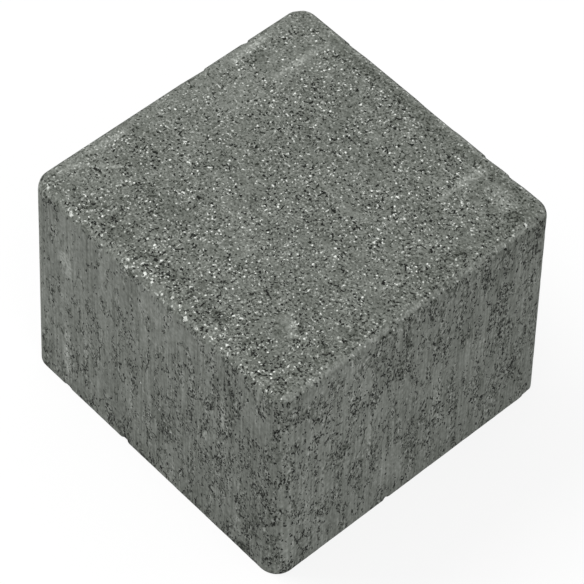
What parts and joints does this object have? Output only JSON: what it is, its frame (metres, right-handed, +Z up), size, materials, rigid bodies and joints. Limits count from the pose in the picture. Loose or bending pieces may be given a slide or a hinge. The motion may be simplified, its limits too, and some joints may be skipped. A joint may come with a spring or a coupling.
{
  "type": "paving stone",
  "caption": "Near-square concrete paving block with tapered sides, rounded upright corners and a rolled top edge, laid on its flat underside to pave ground.",
  "frame": {"origin": "middle of the bedding face, the flat underside that the stone is laid on", "axes": "+Z up towards the wearing face, +X along the slightly longer plan side"},
  "size_m": [0.1054, 0.1038, 0.08],
  "materials": {
    "concrete": "rough"
  },
  "bodies": {
    "root": {"paving_stone": "concrete"}
  },
  "joints": []
}
